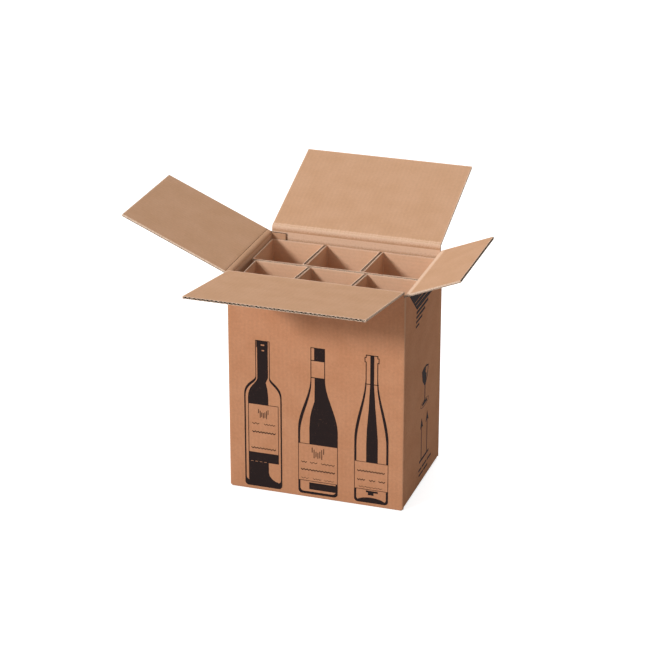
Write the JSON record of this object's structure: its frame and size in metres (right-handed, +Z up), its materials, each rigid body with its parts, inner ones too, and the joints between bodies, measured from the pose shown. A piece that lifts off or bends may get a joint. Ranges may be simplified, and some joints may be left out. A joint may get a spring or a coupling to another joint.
{
  "type": "bottle shipping box",
  "caption": "Open corrugated cardboard shipping carton for bottles, printed with plain bottle shapes, with its top flaps folded out and pleated inserts that form its cells.",
  "frame": {"origin": "centre of the flat base, where the closed carton stands", "axes": "+Z up through the open mouth, +X to the right along the wide walls, -Y out of the wall with the bottle print"},
  "size_m": [0.5932, 0.6231, 0.4823],
  "materials": {
    "kraft_board": "matt brown kraft paper over C flute",
    "insert_board": "matt brown kraft paper, lighter than the carton's outside",
    "ink": "matt black flexographic ink"
  },
  "bodies": {
    "carton": {"carton": "kraft_board", "insert_back_row": "insert_board", "insert_front_row": "insert_board", "front_print": "ink", "side_print": "ink"},
    "front_flap": {"front_flap": "kraft_board"},
    "back_flap": {"back_flap": "kraft_board"}
  },
  "joints": [
    {"name": "front_flap_fold", "type": "hinge", "parent": "carton", "child": "front_flap", "pos_m": [0, -0.11, 0.3983], "axis": [-1, 0, 0], "range_deg": [-89.2, 170.8]},
    {"name": "back_flap_fold", "type": "hinge", "parent": "carton", "child": "back_flap", "pos_m": [0, 0.11, 0.4026], "axis": [1, 0, 0], "range_deg": [-101.2, 158.8]}
  ]
}
